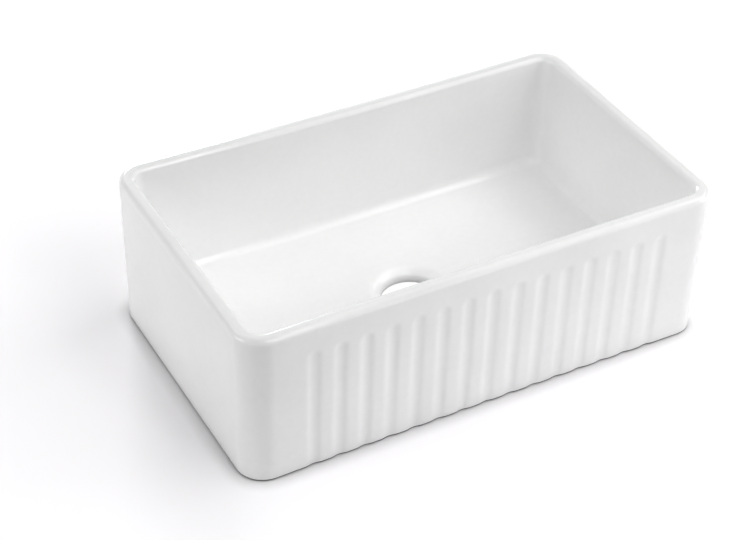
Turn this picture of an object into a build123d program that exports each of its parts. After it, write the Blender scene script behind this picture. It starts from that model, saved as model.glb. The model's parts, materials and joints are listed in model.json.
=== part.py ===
from build123d import *
import os
from math import atan2, cos, degrees, radians, sin, tan

# An apron-front (farmhouse) kitchen sink: one thick-walled glazed fireclay casting.
# Millimetres. X runs along the apron to the right, -Y is the fluted apron, +Z is up,
# and the origin is the centre of the foot that the sink stands on.

# Overall size, measured over the rim
LENGTH = 762.0
DEPTH = 455.0
HEIGHT = 251.0
OUTER_CORNER_RADIUS = 42.0
OUTER_DRAFT = 1.5              # how far each outer wall leans in between rim and base

# Rim
RIM_WIDTH = 22.0
RIM_OUTER_ROUND = 9.0
RIM_INNER_ROUND = 8.0

# Bowl
BOWL_CORNER_RADIUS = 20.0
END_WALL_DRAFT = 8.0           # how far the left and right bowl walls lean in on the way down
LONG_WALL_DRAFT = 5.0          # the same for the front and back bowl walls
COVE_RADIUS = 15.0             # hollow round where the walls meet the floor
LEVEL_STRIP = 4.0              # level floor between the cove and the slopes

# Waste outlet
OUTLET_RADIUS = 45.0
OUTLET_WALL = 5.0              # straight wall of the hole, below its rolled shoulder
OUTLET_ROUND = 15.0
DISH_RADIUS = 60.0             # where the dish round the outlet meets the floor, to left and right
DISH_TILT = radians(10)
DISH_OVERRUN = 1.5             # how far the cutter for the dish runs on, in dish radii
FLOOR_FALL = 5.0               # from the foot of the walls to the dish

# Underside
RECESS_DEPTH = 30.0            # height of the hollow under the floor
FOOT_WIDTH = 26.0              # bearing width of the foot that runs all round
RECESS_DRAFT = 2.0             # how far the inner side of the foot leans in on the way up
RECESS_CORNER_RADIUS = 22.0
RECESS_ROUND = 8.0             # hollow round where the foot meets the underside
FOOT_BEVEL = 3.0               # both lower edges of the foot, ground back after firing

# Flutes in the apron
FLUTE_WIDTH = 21.0
FLUTE_LAND = 19.0              # strip between two flutes, before their edges are softened
FLUTE_DEPTH = 2.1
FLUTE_TOP_MARGIN = 42.0        # plain band between the rim and the ends of the flutes
FLUTE_END_LAND = 40.0          # least plain width between the last flute and the corner
FLUTE_EDGE_ROUND = 27.0        # softened edge of each flute, as round as the flute itself

# Worked out from the sizes above
MOUTH_LENGTH = LENGTH - 2 * RIM_WIDTH
MOUTH_DEPTH = DEPTH - 2 * RIM_WIDTH
SLOPE_REACH = MOUTH_LENGTH / 2 - END_WALL_DRAFT - COVE_RADIUS - LEVEL_STRIP
SLOPE_REACH_Y = MOUTH_DEPTH / 2 - LONG_WALL_DRAFT - COVE_RADIUS - LEVEL_STRIP
SHOULDER_RADIUS = OUTLET_RADIUS + OUTLET_ROUND * (1 - sin(DISH_TILT))
SHOULDER_LEVEL = RECESS_DEPTH + OUTLET_WALL + OUTLET_ROUND * cos(DISH_TILT)
DISH_LEVEL = SHOULDER_LEVEL + (DISH_RADIUS - SHOULDER_RADIUS) * tan(DISH_TILT)
FLOOR_LEVEL = DISH_LEVEL + FLOOR_FALL
HOPPER_LEVEL = FLOOR_LEVEL - FLOOR_FALL * SLOPE_REACH / (SLOPE_REACH - DISH_RADIUS)
FLAT_HALF = LENGTH / 2 - OUTER_CORNER_RADIUS
FLUTE_PITCH = FLUTE_WIDTH + FLUTE_LAND
FLUTE_RADIUS = FLUTE_WIDTH**2 / (8 * FLUTE_DEPTH) + FLUTE_DEPTH / 2
APRON_LEAN = degrees(atan2(OUTER_DRAFT, HEIGHT))


def crossed(outline_x, outline_y):
    """The solid with outline_x seen from the apron and outline_y seen from the right end."""
    lengthwise = extrude(Plane.XZ * Polygon(*outline_x, align=None), DEPTH, both=True)
    crosswise = extrude(Plane.YZ * Polygon(*outline_y, align=None), LENGTH, both=True)
    return lengthwise & crosswise


def drafted_block(length, depth, corner_radius, draft, height):
    """A block on the base plane whose sides lean in by draft on the way up, or out if negative."""
    base = RectangleRounded(length, depth, corner_radius)
    return extrude(base, height, taper=degrees(atan2(draft, height)))


def outer_block():
    """The outside of the casting, leaning in slightly from the rim to the base."""
    base_length = LENGTH - 2 * OUTER_DRAFT
    base_depth = DEPTH - 2 * OUTER_DRAFT
    base_corner = OUTER_CORNER_RADIUS - OUTER_DRAFT
    return drafted_block(base_length, base_depth, base_corner, -OUTER_DRAFT, HEIGHT)


def flute_cutter():
    """A round bar with a ball end, laid parallel to the apron and one flute deep in it."""
    bar_length = HEIGHT + 2 * FLUTE_RADIUS
    bar = Cylinder(FLUTE_RADIUS, bar_length, align=(Align.CENTER, Align.CENTER, Align.MAX))
    ball_end = Sphere(FLUTE_RADIUS)
    standoff = FLUTE_RADIUS - FLUTE_DEPTH
    drop = FLUTE_TOP_MARGIN + FLUTE_WIDTH / 2
    apron_top = Location((0, -DEPTH / 2, HEIGHT), (APRON_LEAN, 0, 0))
    return apron_top * Pos(0, -standoff, -drop) * (bar + ball_end)


def flute_places():
    """X positions of the flutes: as many as fit, with one on the centre line."""
    reach = FLAT_HALF - FLUTE_END_LAND - FLUTE_WIDTH / 2
    each_side = int(reach / FLUTE_PITCH)
    return [FLUTE_PITCH * i for i in range(-each_side, each_side + 1)]


def fluted_block():
    """The outer block with its softened flutes, rolled rim and bevelled foot."""
    cutter = flute_cutter()
    places = flute_places()
    block = outer_block() - [Pos(x, 0, 0) * cutter for x in places]
    apron = block.faces().filter_by(GeomType.PLANE).sort_by(Axis.Y)[0]
    fluted_half = places[-1] + FLUTE_PITCH / 2
    flute_edges = apron.edges().filter_by_position(Axis.X, -fluted_half, fluted_half)
    flute_edges = flute_edges.filter_by_position(Axis.Z, FOOT_BEVEL, HEIGHT - RIM_OUTER_ROUND)
    block = fillet(flute_edges, FLUTE_EDGE_ROUND)
    block = fillet(block.edges().group_by(Axis.Z)[-1], RIM_OUTER_ROUND)
    return chamfer(block.edges().group_by(Axis.Z)[0], FOOT_BEVEL)


def bowl_space():
    """The air in the bowl: drafted walls, coved foot, and a floor that falls four ways."""
    mouth_x = MOUTH_LENGTH / 2
    mouth_y = MOUTH_DEPTH / 2
    foot_x = mouth_x - END_WALL_DRAFT
    foot_y = mouth_y - LONG_WALL_DRAFT
    ends = [(-mouth_x, HEIGHT), (-foot_x, FLOOR_LEVEL), (foot_x, FLOOR_LEVEL), (mouth_x, HEIGHT)]
    sides = [(-mouth_y, HEIGHT), (-foot_y, FLOOR_LEVEL), (foot_y, FLOOR_LEVEL), (mouth_y, HEIGHT)]
    space = crossed(ends, sides)
    space = fillet(space.edges().group_by(Axis.Z)[1], BOWL_CORNER_RADIUS)
    space = fillet(space.edges().group_by(Axis.Z)[0], COVE_RADIUS)
    slopes_x = [(-SLOPE_REACH, FLOOR_LEVEL), (0, HOPPER_LEVEL), (SLOPE_REACH, FLOOR_LEVEL)]
    slopes_y = [(-SLOPE_REACH_Y, FLOOR_LEVEL), (0, HOPPER_LEVEL), (SLOPE_REACH_Y, FLOOR_LEVEL)]
    return space + crossed(slopes_x, slopes_y)


def outlet_space():
    """The outlet: a round hole, its rolled shoulder and the shallow dish that leads into it."""
    bottom = RECESS_DEPTH / 2
    wall = Line((OUTLET_RADIUS, bottom), (OUTLET_RADIUS, RECESS_DEPTH + OUTLET_WALL))
    shoulder_centre = (OUTLET_RADIUS + OUTLET_ROUND, RECESS_DEPTH + OUTLET_WALL)
    sweep = 90 - degrees(DISH_TILT)
    shoulder = CenterArc(shoulder_centre, OUTLET_ROUND, 180, -sweep)
    reach = DISH_OVERRUN * DISH_RADIUS
    rise = (reach - SHOULDER_RADIUS) * tan(DISH_TILT)
    dish = Line(shoulder @ 1, (reach, SHOULDER_LEVEL + rise))
    back = Polyline(dish @ 1, (reach, HEIGHT), (0, HEIGHT), (0, bottom), wall @ 0)
    return revolve(Plane.XZ * make_face([wall, shoulder, dish, back]), Axis.Z)


def underside_space():
    """The hollow inside the foot, closed above by the flat underside of the floor."""
    length = LENGTH - 2 * (OUTER_DRAFT + FOOT_WIDTH)
    depth = DEPTH - 2 * (OUTER_DRAFT + FOOT_WIDTH)
    space = drafted_block(length, depth, RECESS_CORNER_RADIUS, RECESS_DRAFT, RECESS_DEPTH)
    return fillet(space.edges().group_by(Axis.Z)[-1], RECESS_ROUND)


def basin():
    """The whole casting, with its rim rolled and its foot bevelled on the inside as well."""
    body = fluted_block() - bowl_space() - outlet_space() - underside_space()
    rim_face = body.faces().sort_by(Axis.Z)[-1]
    body = fillet(rim_face.inner_wires()[0].edges(), RIM_INNER_ROUND)
    foot_face = body.faces().sort_by(Axis.Z)[0]
    return chamfer(foot_face.inner_wires()[0].edges(), FOOT_BEVEL)


os.makedirs("parts", exist_ok=True)
export_step(basin(), "parts/basin.step")
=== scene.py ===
import json
import math

import bpy
import numpy as np
from mathutils import Euler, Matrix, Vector


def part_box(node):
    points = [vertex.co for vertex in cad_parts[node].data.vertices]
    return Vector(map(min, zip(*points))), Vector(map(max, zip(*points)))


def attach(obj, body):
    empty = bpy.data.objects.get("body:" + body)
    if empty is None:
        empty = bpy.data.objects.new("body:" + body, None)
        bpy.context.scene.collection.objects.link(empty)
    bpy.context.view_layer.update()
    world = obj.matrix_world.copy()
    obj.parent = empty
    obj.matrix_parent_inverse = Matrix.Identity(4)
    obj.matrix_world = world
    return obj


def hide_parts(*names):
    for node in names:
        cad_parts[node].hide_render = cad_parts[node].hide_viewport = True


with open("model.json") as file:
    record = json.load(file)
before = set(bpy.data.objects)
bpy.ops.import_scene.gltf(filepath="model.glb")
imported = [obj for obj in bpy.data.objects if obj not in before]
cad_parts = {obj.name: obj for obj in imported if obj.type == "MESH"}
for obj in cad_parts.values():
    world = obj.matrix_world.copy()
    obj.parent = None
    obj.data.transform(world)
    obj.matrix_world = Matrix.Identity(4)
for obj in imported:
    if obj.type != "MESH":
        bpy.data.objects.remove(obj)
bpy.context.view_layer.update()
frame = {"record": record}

# A farmhouse sink in glazed fireclay, photographed from above its left front corner.
# Metres. X runs along the apron to the right, -Y is the fluted apron and +Z is up.
# The casting is one closed surface: rings of points that follow its cross-section round from the
# outlet, under the floor, up the outside, over the rim and down the bowl to the outlet again.

MM = 0.001

# Sizes that come from the frame
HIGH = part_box("basin")[1]           # its upper corner; X and Y run as far the other way
HEIGHT = HIGH.z
OUTLET = next(m for m in frame["record"]["mounts"] if m["name"] == "outlet")
OUTLET_RADIUS = OUTLET["dims"]["r_mm"] * MM
OUTLET_TOP = OUTLET["pos_m"][2] + OUTLET["dims"]["length_mm"] * MM / 2
UNDERSIDE_LEVEL = OUTLET["pos_m"][2] - OUTLET["dims"]["length_mm"] * MM / 2

# Outside
CORNER_RADIUS = 42 * MM
OUTER_LEAN = 1.5 / 251              # how much each wall leans in per metre of height, rim to base
RIM_WIDTH = 22 * MM
RIM_OUTER_ROUND = 9 * MM
RIM_INNER_ROUND = 8 * MM
FOOT_ROUND = 3 * MM
FOOT_WIDTH = 26 * MM
RECESS_LEAN = 2.0 / 30
RECESS_CORNER_RADIUS = 22 * MM
RECESS_ROUND = 8 * MM

# Bowl
BOWL_CORNER_RADIUS = 20 * MM
END_WALL_LEAN = 8.0 / 196           # left and right bowl walls, from the rim to the floor
LONG_WALL_LEAN = 5.0 / 196          # front and back bowl walls
COVE_RADIUS = 15 * MM
FLOOR_LEVEL = 55.2 * MM
LEVEL_STRIP = 4 * MM
FLOOR_FALL = 5 * MM
SLOPE_BLEND = 0.10                  # softness of the creases between the four slopes
OUTLET_ROUND = 11 * MM              # edge of the hole, from upright to the seat's tilt
SEAT_ROUND = 30 * MM                # seat of the waste, from its own tilt to the dish's
SEAT_TILT = math.radians(40)
DISH_RADIUS = 60 * MM
DISH_TILT = math.radians(8)
DISH_BLEND = 0.8 * MM               # softness of the dish's edge

# Flutes
FLUTE_PITCH = 40 * MM
FLUTES_EACH_SIDE = 7
FLUTE_WIDTH = 21 * MM
FLUTE_DEPTH = 1.9 * MM
FLUTE_EDGE_ROUND = 27 * MM
FLUTE_TOP = HEIGHT - 42 * MM

# The slight inward bow that the long walls took in the kiln
BACK_BOW = 4.0 * MM
FRONT_BOW = 1.5 * MM

# Glaze: tones, and the size and height of what varies
GLAZE_THIN = 0.785
GLAZE_THICK = 0.825
GLAZE_SPREAD = (0.3, 0.7)           # the values of the noise at which it is thin and thick
GLAZE_POOLING = 70 * MM
GLAZE_MOTTLE = 5 * MM
GLAZE_MOTTLE_SHARE = 0.35
GLAZE_PAINTED_BOUNCE = (1.05, 0.95)            # painted light: its tone at the foot, lighter as if lit by the floor, and at the top
RIM_PAINTED_SHADE_DEPTHS = (5.0 * MM, 0.5 * MM)  # painted shade: between these depths below the top of the rim the glaze is darkened,
RIM_PAINTED_SHADE_TONE = 0.87               # down to this much of its tone, as shade painted on the rim
GLAZE_ROUGHNESS = (0.10, 0.17)
GLAZE_IOR = 1.5
GLAZE_WAVE = 22 * MM
GLAZE_WAVE_HEIGHT = 0.10 * MM
GLAZE_PEEL = 1.2 * MM
GLAZE_PEEL_HEIGHT = 0.006 * MM

# Bare clay, and the rounded outer edge of the foot, coloured near black as painted contact shade
CLAY_DARK = (0.50, 0.45, 0.38)
CLAY_LIGHT = (0.70, 0.65, 0.57)
FOOT_SHADE_DARK = (0.050, 0.047, 0.047)
FOOT_SHADE_LIGHT = (0.085, 0.081, 0.078)
CLAY_SPREAD = (0.35, 0.65)          # the values of the noise at which it is dark and light
CLAY_STAIN = 18 * MM
CLAY_GRIT = 0.8 * MM
CLAY_GRIT_SHARE = 0.5
CLAY_GRIT_HEIGHT = 0.15 * MM
CLAY_ROUGHNESS = 0.85
GROG_SPACING = 4 * MM
GROG_SIZE = 0.16                    # as a share of the spacing
GROG_TONE = 0.5                     # as a share of the clay's dark tone

# Floor
FLOOR_COLOUR = (0.950, 0.938, 0.952)
FLOOR_ROUGHNESS = 0.9
FLOOR_SIZE = 12.0
FLOOR_LIFT = 0.01                   # how much whiter the floor shows as a background near the sink,
FLOOR_FADE = (0.6, 2.0)             # and the distances over which that grows to full white
CONTACT_REACH = 25 * MM             # painted contact shade: the floor's colour darkens this close to the foot,
CONTACT_PAINTED_SHADE = 0.72                # down to this much of its colour,
CONTACT_SKY = 0.5                   # where only this share of the sky is open
CONTACT_SAMPLES = 8
CARD_RADIUS = 100 * MM              # white card under the outlet

# The photograph's viewpoint, found by fitting the outline of the sink
CAMERA_PLACE = (-1.144486, -1.898694, 1.814552)
CAMERA_ANGLES = (52.0383, -1.2641, -28.6827)
CAMERA_LENS = 89.837

# Softboxes round the sink: azimuth, elevation in degrees, distance, size, power in watts
SOFTBOXES = {
    "apron": (270, 60, 1.5, 0.6, 5.6),
    "apron_low": (285, 2, 1.0, 0.25, 0.4),
    "apron_left": (280, 35, 3.0, 0.8, 11.6),
    "front": (310, 43, 3.0, 0.6, 5.5),
    "right_front": (330, 38, 3.0, 1.6, 8.5),
    "right_front_low": (330, 18, 3.0, 0.8, 18),
    "right_near": (350, 40, 1.5, 0.6, 2.8),
    "right": (0, 50, 3.0, 1.6, 6),
    "right_high": (0, 60, 3.0, 1.6, 14.5),
    "right_top": (20, 70, 3.0, 1.6, 6.3),
    "right_back": (22, 34, 3.0, 0.5, 3.3),
    "back_low": (82, 20, 3.0, 0.8, 46),
    "left_back": (165, 12, 3.0, 0.8, 9.7),
    "left_back_near": (140, 50, 1.5, 0.6, 2.5),
    "left_low": (180, 20, 3.0, 0.8, 20.5),
    "left_near": (180, 50, 1.5, 0.6, 2.3),
}

# Points in each stretch of a ring
FRONT_POINTS = 272
BACK_POINTS = 72
SIDE_POINTS = 40
CORNER_POINTS = 16

# Rings in each stretch of the cross-section
UNDERSIDE_RINGS = 12
RECESS_RINGS = 8
FOOT_ROUND_RINGS = 6
BEARING_RINGS = 5
WALL_RINGS = 12
FLUTE_END_RINGS = 24
BAND_RINGS = 5
RIM_OUTER_RINGS = 12
RIM_INNER_RINGS = 11
BOWL_WALL_RINGS = 16
COVE_RINGS = 12
FLOOR_RINGS = 36
DISH_RINGS = 14
OUTLET_ARC_RINGS = 9
FLUTE_END_ZONE = (FLUTE_TOP - 36 * MM, FLUTE_TOP + 6 * MM)  # levels with rings close together
CIRCLE_REACH = DISH_RADIUS + 30 * MM    # within it, the rings on the floor are circles


# ---------------------------------------------------------------- rings

def smooth_min(a, b, blend):
    """The lower of a and b, with the corner between them rounded over a width of blend."""
    overlap = np.maximum(blend - np.abs(a - b), 0.0)
    return np.minimum(a, b) - overlap**2 / (4 * blend)


def rounded_rectangle(half_x, half_y, radius):
    """Points round a rectangle with round corners, from the left end of its front side."""
    flat_x = half_x - radius
    flat_y = half_y - radius
    sides = [
        ((-flat_x, -half_y), (flat_x, -half_y), FRONT_POINTS, (flat_x, -flat_y), -90),
        ((half_x, -flat_y), (half_x, flat_y), SIDE_POINTS, (flat_x, flat_y), 0),
        ((flat_x, half_y), (-flat_x, half_y), BACK_POINTS, (-flat_x, flat_y), 90),
        ((-half_x, flat_y), (-half_x, -flat_y), SIDE_POINTS, (-flat_x, -flat_y), 180),
    ]
    points = []
    for start, end, count, centre, first_angle in sides:
        share = np.linspace(0, 1, count, endpoint=False)[:, None]
        points.append(np.array(start) * (1 - share) + np.array(end) * share)
        angle = np.radians(first_angle + np.linspace(0, 90, CORNER_POINTS, endpoint=False))
        points.append(np.array(centre) + radius * np.stack([np.cos(angle), np.sin(angle)], 1))
    return np.concatenate(points)


def ring(outline, level):
    """Points in space: an outline at one level, or at a level for each point."""
    levels = np.broadcast_to(np.asarray(level, float), (len(outline),))
    return np.column_stack([outline, levels])


def circle_beside(outline, radius):
    """The points of a circle in the same directions as the points of an outline."""
    return outline * (radius / np.linalg.norm(outline, axis=1))[:, None]


def quarter(radius, count, rising):
    """Steps along a quarter round: how far in and how far down from its outer or upper start."""
    angle = np.linspace(0, math.pi / 2, count)
    if rising:
        return list(zip(radius * (1 - np.cos(angle)), radius * np.sin(angle)))
    return list(zip(radius * np.sin(angle), radius * (1 - np.cos(angle))))


# ---------------------------------------------------------------- cross-section

def outside(level, inset=0.0):
    """The outer walls at one level, moved in by inset."""
    lean = OUTER_LEAN * (HEIGHT - RIM_OUTER_ROUND - level) + inset
    return ring(rounded_rectangle(HIGH.x - lean, HIGH.y - lean, CORNER_RADIUS - lean), level)


def bowl_sides(level, inset=0.0):
    """The bowl walls at one level, moved in by inset."""
    half_x = HIGH.x - RIM_WIDTH - END_WALL_LEAN * (HEIGHT - level)
    half_y = HIGH.y - RIM_WIDTH - LONG_WALL_LEAN * (HEIGHT - level)
    outline = rounded_rectangle(half_x - inset, half_y - inset, BOWL_CORNER_RADIUS - inset)
    return ring(outline, level)


def recess_sides(level, inset=0.0):
    """The inner side of the foot at one level, moved in by inset."""
    lean = RECESS_LEAN * level + inset
    away = OUTER_LEAN * HEIGHT + FOOT_WIDTH + lean
    radius = RECESS_CORNER_RADIUS - lean
    return ring(rounded_rectangle(HIGH.x - away, HIGH.y - away, radius), level)


def outlet_profile():
    """Radius and level of points from the dish, over the seat and the hole's edge, to its wall."""
    radius, level = OUTLET_RADIUS, OUTLET_TOP
    points = [(radius, level)]
    arcs = ((OUTLET_ROUND, math.pi / 2, SEAT_TILT), (SEAT_ROUND, SEAT_TILT, DISH_TILT))
    for rounding, start, end in arcs:
        for tilt in np.linspace(start, end, OUTLET_ARC_RINGS)[1:]:
            out = rounding * (math.sin(start) - math.sin(tilt))
            up = rounding * (math.cos(tilt) - math.cos(start))
            points.append((radius + out, level + up))
        radius, level = points[-1]
    return points[::-1]


def floor_height(outline):
    """Floor level: four slopes that fall to the dish round the outlet."""
    reach = bowl_sides(FLOOR_LEVEL, COVE_RADIUS + LEVEL_STRIP)[:, :2].max(axis=0)
    share_x, share_y = np.abs(outline / reach).T
    share = -smooth_min(-share_x, -share_y, SLOPE_BLEND)
    hopper = FLOOR_LEVEL - FLOOR_FALL * reach[0] / (reach[0] - DISH_RADIUS) * (1 - share)
    slopes = smooth_min(hopper, FLOOR_LEVEL, DISH_BLEND)
    inner_radius, inner_level = outlet_profile()[0]
    away = np.linalg.norm(outline, axis=1) - inner_radius
    dish = inner_level + away * math.tan(DISH_TILT)
    return smooth_min(slopes, dish, DISH_BLEND)


def under_rings():
    """From the outlet's lower edge, under the floor and down the inner side of the foot."""
    corner = recess_sides(UNDERSIDE_LEVEL, RECESS_ROUND)
    rings = []
    for share in np.linspace(0, 1, UNDERSIDE_RINGS):
        outline = circle_beside(corner[:, :2], OUTLET_RADIUS) * (1 - share) + corner[:, :2] * share
        rings.append(ring(outline, UNDERSIDE_LEVEL))
    for inward, down in reversed(quarter(RECESS_ROUND, RECESS_RINGS, rising=True)[:-1]):
        rings.append(recess_sides(UNDERSIDE_LEVEL - RECESS_ROUND + down, inward))
    return rings


def foot_rings():
    """Over the rounded inner edge of the foot and across its bearing face."""
    rounding = quarter(FOOT_ROUND, FOOT_ROUND_RINGS, rising=True)
    rings = [recess_sides(FOOT_ROUND - down, -out) for out, down in rounding]
    inner = rings[-1]
    outer = outside(0, FOOT_ROUND)
    for share in np.linspace(0, 1, BEARING_RINGS)[1:-1]:
        rings.append(inner * (1 - share) + outer * share)
    return rings


def edge_rings():
    """Up the rounded outer edge of the foot, bare of glaze and coloured near black as painted
    contact shade.
    """
    rounding = quarter(FOOT_ROUND, FOOT_ROUND_RINGS, rising=True)
    return [outside(FOOT_ROUND - down, inward) for inward, down in reversed(rounding[1:])]


def wall_rings():
    """Up the outside from the foot to the rim, with rings close together at the flutes' ends."""
    zone_start, zone_end = FLUTE_END_ZONE
    levels = np.concatenate([
        np.linspace(FOOT_ROUND, zone_start, WALL_RINGS, endpoint=False),
        np.linspace(zone_start, zone_end, FLUTE_END_RINGS, endpoint=False),
        np.linspace(zone_end, HEIGHT - RIM_OUTER_ROUND, BAND_RINGS),
    ])
    return [outside(level) for level in levels]


def rim_rings():
    """Over the rolled rim, from the top of the outer wall to the top of the bowl wall."""
    rings = []
    for inward, up in quarter(RIM_OUTER_ROUND, RIM_OUTER_RINGS, rising=True)[1:]:
        rings.append(outside(HEIGHT - RIM_OUTER_ROUND + up, inward))
    for inward, down in quarter(RIM_INNER_ROUND, RIM_INNER_RINGS, rising=False):
        rings.append(bowl_sides(HEIGHT - down, inward - RIM_INNER_ROUND))
    return rings


def bowl_rings():
    """Down the bowl wall, round the cove and over the floor to a circle round the dish."""
    cove_top = FLOOR_LEVEL + COVE_RADIUS
    levels = np.linspace(HEIGHT - RIM_INNER_ROUND, cove_top, BOWL_WALL_RINGS)[1:]
    rings = [bowl_sides(level) for level in levels]
    for inward, down in quarter(COVE_RADIUS, COVE_RINGS, rising=True)[1:]:
        rings.append(bowl_sides(cove_top - down, inward))
    foot = rings[-1][:, :2]
    circle = circle_beside(foot, CIRCLE_REACH)
    for share in np.linspace(0, 1, FLOOR_RINGS)[1:]:
        outline = foot * (1 - share) + circle * share
        rings.append(ring(outline, floor_height(outline)))
    return rings


def outlet_rings(circle):
    """From the circle round the dish, down it, over the seat of the waste and into the hole."""
    profile = outlet_profile()
    rings = []
    for radius in np.linspace(CIRCLE_REACH, profile[0][0], DISH_RINGS)[1:-1]:
        outline = circle_beside(circle, radius)
        rings.append(ring(outline, floor_height(outline)))
    for radius, level in profile:
        rings.append(ring(circle_beside(circle, radius), level))
    return rings


# ---------------------------------------------------------------- flutes and bow

def flute_depths(x, z):
    """How deep the nearest flute is at each point of the apron: a round groove with a ball end."""
    groove = FLUTE_WIDTH**2 / (8 * FLUTE_DEPTH) + FLUTE_DEPTH / 2
    drop = groove - FLUTE_DEPTH
    reach = math.sqrt((groove + FLUTE_EDGE_ROUND)**2 - (drop + FLUTE_EDGE_ROUND)**2)
    tangent = reach * groove / (groove + FLUTE_EDGE_ROUND)
    nearest = np.clip(np.round(x / FLUTE_PITCH), -FLUTES_EACH_SIDE, FLUTES_EACH_SIDE)
    above = np.maximum(z - (FLUTE_TOP - FLUTE_WIDTH / 2), 0.0)
    away = np.minimum(np.hypot(x - nearest * FLUTE_PITCH, above), reach)
    hollow = np.sqrt(groove**2 - np.minimum(away, tangent)**2) - drop
    edge = FLUTE_EDGE_ROUND - np.sqrt(FLUTE_EDGE_ROUND**2 - (reach - np.maximum(away, tangent))**2)
    return np.where(away < tangent, hollow, edge)


def press_flutes(points):
    """Moves the apron's face in where the flutes are, and fades them out under the foot."""
    x, y, z = points.T
    face = HIGH.y - OUTER_LEAN * (HEIGHT - z)
    behind = np.abs(y + face)
    share = np.clip(1 - behind / FOOT_WIDTH, 0, 1)
    on_apron = (y < 0) & (behind < FOOT_WIDTH)
    among_flutes = (np.abs(x) < HIGH.x - CORNER_RADIUS) & (z < FLUTE_TOP + FLUTE_WIDTH)
    points[:, 1] += np.where(on_apron & among_flutes, share * flute_depths(x, z), 0.0)


def bow_walls(points):
    """Bends the long walls slightly inward between the corners."""
    x, y, _ = points.T
    along = np.clip(1 - (x / (HIGH.x - CORNER_RADIUS))**2, 0, 1)
    across = y / HIGH.y
    bow = np.where(y > 0, BACK_BOW, FRONT_BOW)
    points[:, 1] -= bow * along * across


# ---------------------------------------------------------------- basin

def make_basin(glaze, clay, foot_shade_clay):
    """The casting as one closed mesh, glazed all over but for the foot and the underside."""
    bare = under_rings() + foot_rings()
    edge = edge_rings()
    dressed = wall_rings() + rim_rings() + bowl_rings()
    dressed += outlet_rings(dressed[-1][:, :2])
    rings = np.array(bare + edge + dressed)
    points = rings.reshape(-1, 3)
    press_flutes(points)
    bow_walls(points)
    around = rings.shape[1]
    here = np.arange(around)
    beside = np.roll(here, -1)
    faces = []
    for i in range(len(rings)):
        this = i * around
        following = (i + 1) % len(rings) * around
        corners = [this + here, following + here, following + beside, this + beside]
        faces.append(np.stack(corners, 1))
    mesh = bpy.data.meshes.new("basin_glazed")
    mesh.from_pydata(points.tolist(), [], np.concatenate(faces).tolist())
    for material in (glaze, clay, foot_shade_clay):
        mesh.materials.append(material)
    # The foot's outer edge takes the near-black clay that paints the contact shade.
    surface = np.repeat([1, 2, 0], [len(bare), len(edge), len(dressed)])
    mesh.polygons.foreach_set("material_index", np.repeat(surface, around).astype(np.int32))
    mesh.polygons.foreach_set("use_smooth", np.ones(len(mesh.polygons), bool))
    mesh.update()
    basin = bpy.data.objects.new("basin_glazed", mesh)
    bpy.context.scene.collection.objects.link(basin)
    return basin


# ---------------------------------------------------------------- materials

def node_adder(tree):
    """A function that adds a node to a tree, sets or links its inputs and returns its outputs."""
    def add(kind, *inputs, **settings):
        node = tree.nodes.new(kind)
        for setting, value in settings.items():
            setattr(node, setting, value)
        for socket, value in inputs:
            target = node.inputs[socket]
            if isinstance(value, bpy.types.NodeSocket):
                tree.links.new(value, target)
            else:
                target.default_value = value
        return node.outputs

    return add


def new_material(name):
    """An empty node material: its shader, and the functions that add and link its nodes."""
    material = bpy.data.materials.new(name)
    material.use_nodes = True
    tree = material.node_tree
    return material, tree.nodes["Principled BSDF"], node_adder(tree), tree.links.new


def noise(add, place, size, detail):
    """Even noise whose blotches are about size across."""
    return add("ShaderNodeTexNoise", ("Vector", place), ("Scale", 0.5 / size),
               ("Detail", detail))["Fac"]


def bump(add, height, distance, *below):
    """The normal of a surface raised by height times distance, over a normal below if given."""
    under = [("Normal", normal) for normal in below]
    return add("ShaderNodeBump", ("Height", height), ("Distance", distance), *under)["Normal"]


def remap(add, value, source, target, shape="LINEAR"):
    """Takes one range of a value to another, and holds it at their ends."""
    return add("ShaderNodeMapRange", ("Value", value), ("From Min", source[0]),
               ("From Max", source[1]), ("To Min", target[0]), ("To Max", target[1]),
               interpolation_type=shape)["Result"]


def tones(add, value, spread, first, last):
    """A colour that goes from first to last while a value crosses the range spread."""
    colour = add("ShaderNodeValToRGB", ("Fac", value))["Color"]
    steps = colour.node.color_ramp.elements
    steps[0].position, steps[0].color = spread[0], (*first, 1)
    steps[1].position, steps[1].color = spread[1], (*last, 1)
    return colour


def scaled(add, vector, factor):
    """A colour or vector times a factor."""
    return add("ShaderNodeVectorMath", ("Vector", vector), ("Scale", factor),
               operation="SCALE")["Vector"]


def background_rays(add):
    """1 for the rays that show the background: from the camera, off gloss and through glass."""
    path = add("ShaderNodeLightPath")
    chosen = path["Is Camera Ray"]
    for kind in ("Is Glossy Ray", "Is Transmission Ray"):
        chosen = add("ShaderNodeMath", (0, chosen), (1, path[kind]), operation="MAXIMUM")["Value"]
    return chosen


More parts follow.
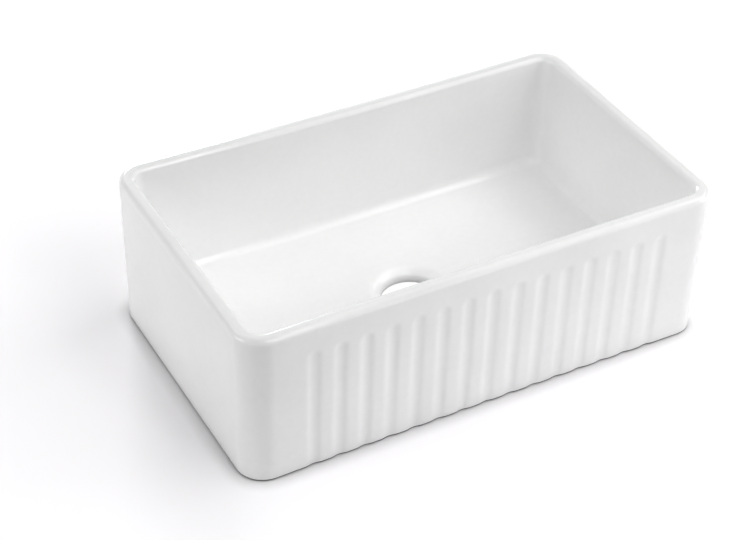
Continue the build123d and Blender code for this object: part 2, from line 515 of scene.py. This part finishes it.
def glazed_fireclay():
    """White gloss glaze, uneven in tone and sheen, gently wavy and with a fine orange peel, painted
    lighter towards the foot and darker on the rim as light and shade.
    """
    material, shader, add, link = new_material("glazed_fireclay")
    place = add("ShaderNodeTexCoord")["Object"]
    pooling = noise(add, place, GLAZE_POOLING, 2.0)
    mottle = noise(add, place, GLAZE_MOTTLE, 3.0)
    clouds = add("ShaderNodeMix", ("Factor", GLAZE_MOTTLE_SHARE), ("A", pooling),
                 ("B", mottle))["Result"]
    tone = tones(add, clouds, GLAZE_SPREAD, [GLAZE_THIN] * 3, [GLAZE_THICK] * 3)
    level = add("ShaderNodeSeparateXYZ", ("Vector", place))["Z"]
    # Painted light: the glaze is lighter towards the foot, as if lit from the floor below, and
    # darker towards the top.
    painted_bounce = remap(add, level, (0, HEIGHT), GLAZE_PAINTED_BOUNCE)
    # Painted shade: the glaze is darkened over the top of the rim.
    rim_top = [HEIGHT - depth for depth in RIM_PAINTED_SHADE_DEPTHS]
    rim_painted_shade = remap(add, level, rim_top, (1, RIM_PAINTED_SHADE_TONE), "SMOOTHSTEP")
    link(scaled(add, scaled(add, tone, painted_bounce), rim_painted_shade), shader.inputs["Base Color"])
    link(remap(add, pooling, GLAZE_SPREAD, GLAZE_ROUGHNESS), shader.inputs["Roughness"])
    wavy = bump(add, noise(add, place, GLAZE_WAVE, 1.0), GLAZE_WAVE_HEIGHT)
    peel = noise(add, place, GLAZE_PEEL, 2.0)
    link(bump(add, peel, GLAZE_PEEL_HEIGHT, wavy), shader.inputs["Normal"])
    shader.inputs["IOR"].default_value = GLAZE_IOR
    return material


def bare_fireclay(name, dark, light):
    """Unglazed clay, gritty and flecked with grog, between a dark and a light tone."""
    material, shader, add, link = new_material(name)
    place = add("ShaderNodeTexCoord")["Object"]
    stain = noise(add, place, CLAY_STAIN, 3.0)
    grit = noise(add, place, CLAY_GRIT, 4.0)
    clouds = add("ShaderNodeMix", ("Factor", CLAY_GRIT_SHARE), ("A", stain), ("B", grit))["Result"]
    body = tones(add, clouds, CLAY_SPREAD, dark, light)
    grains = add("ShaderNodeTexVoronoi", ("Vector", place), ("Scale", 1 / GROG_SPACING))["Distance"]
    fleck = add("ShaderNodeMath", (0, grains), (1, GROG_SIZE), operation="LESS_THAN")["Value"]
    grog = (*[GROG_TONE * part for part in dark], 1)
    flecked = add("ShaderNodeMix", (0, fleck), (6, body), (7, grog), data_type="RGBA")[2]
    link(flecked, shader.inputs["Base Color"])
    link(bump(add, grit, CLAY_GRIT_HEIGHT), shader.inputs["Normal"])
    shader.inputs["Roughness"].default_value = CLAY_ROUGHNESS
    return material


# ---------------------------------------------------------------- stage

def make_floor():
    """A pale floor that keeps the sink's shadow, darkened near the foot by painted contact shade,
    and fades to white; and a card under the outlet.
    """
    material, shader, add, link = new_material("floor")
    # Painted contact shade: the floor's colour is darkened where the sink closes off its sky.
    open_sky = add("ShaderNodeAmbientOcclusion", ("Distance", CONTACT_REACH),
                   samples=CONTACT_SAMPLES)["AO"]
    contact_painted_shade = remap(add, open_sky, (CONTACT_SKY, 1), (CONTACT_PAINTED_SHADE, 1))
    link(scaled(add, FLOOR_COLOUR, contact_painted_shade), shader.inputs["Base Color"])
    shader.inputs["Roughness"].default_value = FLOOR_ROUGHNESS
    shader.inputs["Specular IOR Level"].default_value = 0.0
    place = add("ShaderNodeTexCoord")["Object"]
    away = add("ShaderNodeVectorMath", ("Vector", place), operation="LENGTH")["Value"]
    shows = background_rays(add)
    fade = remap(add, away, FLOOR_FADE, (FLOOR_LIFT, 1), "SMOOTHSTEP")
    lift = add("ShaderNodeMath", (0, shows), (1, fade), operation="MULTIPLY")["Value"]
    link(lift, shader.inputs["Emission Strength"])
    shader.inputs["Emission Color"].default_value = (1, 1, 1, 1)
    under_outlet = add("ShaderNodeMath", (0, away), (1, CARD_RADIUS),
                       operation="LESS_THAN")["Value"]
    shown = add("ShaderNodeMath", (0, under_outlet), (1, shows), operation="MULTIPLY")["Value"]
    card = add("ShaderNodeEmission", ("Strength", 1.0))["Emission"]
    both = add("ShaderNodeMixShader", (0, shown), (1, shader.outputs[0]), (2, card))["Shader"]
    link(both, material.node_tree.nodes["Material Output"].inputs["Surface"])
    bpy.ops.mesh.primitive_plane_add(size=FLOOR_SIZE)
    floor = bpy.context.object
    floor.name = "floor"
    floor.data.materials.append(material)


def light_world():
    """White as a background, and dark to the rays that light things."""
    world = bpy.data.worlds.new("studio")
    bpy.context.scene.world = world
    world.use_nodes = True
    tree = world.node_tree
    add = node_adder(tree)
    dark = tree.nodes["Background"]
    dark.inputs["Strength"].default_value = 0.0
    white = add("ShaderNodeBackground", ("Color", (1, 1, 1, 1)), ("Strength", 1.0))["Background"]
    chosen = add("ShaderNodeMixShader", (0, background_rays(add)), (1, dark.outputs[0]),
                 (2, white))["Shader"]
    tree.links.new(chosen, tree.nodes["World Output"].inputs["Surface"])


def add_softbox(name, azimuth, elevation, distance, size, power):
    """A square lamp that faces the sink from one direction."""
    lamp = bpy.data.lights.new(name, "AREA")
    lamp.size = size
    lamp.energy = power
    holder = bpy.data.objects.new(name, lamp)
    turn = math.radians(azimuth)
    lift = math.radians(elevation)
    level = math.cos(lift)
    direction = Vector((math.cos(turn) * level, math.sin(turn) * level, math.sin(lift)))
    holder.location = direction * distance + Vector((0, 0, HEIGHT / 2))
    holder.rotation_euler = direction.to_track_quat("Z", "Y").to_euler()
    holder.visible_camera = False
    bpy.context.scene.collection.objects.link(holder)


def add_camera():
    """The camera at the photograph's viewpoint."""
    data = bpy.data.cameras.new("camera")
    data.lens = CAMERA_LENS
    camera = bpy.data.objects.new("camera", data)
    camera.location = CAMERA_PLACE
    camera.rotation_euler = Euler([math.radians(a) for a in CAMERA_ANGLES])
    bpy.context.scene.collection.objects.link(camera)
    bpy.context.scene.camera = camera


add_camera()
make_floor()
light_world()
for softbox, setting in SOFTBOXES.items():
    add_softbox(softbox, *setting)
clay = bare_fireclay("bare_fireclay", CLAY_DARK, CLAY_LIGHT)
# Near-black clay on the foot's edge: painted contact shade, not the clay's own colour.
foot_shade_clay = bare_fireclay("foot_painted_shade", FOOT_SHADE_DARK, FOOT_SHADE_LIGHT)
basin = make_basin(glazed_fireclay(), clay, foot_shade_clay)
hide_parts("basin")
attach(basin, "root")

bpy.context.scene.view_settings.view_transform = "Standard"
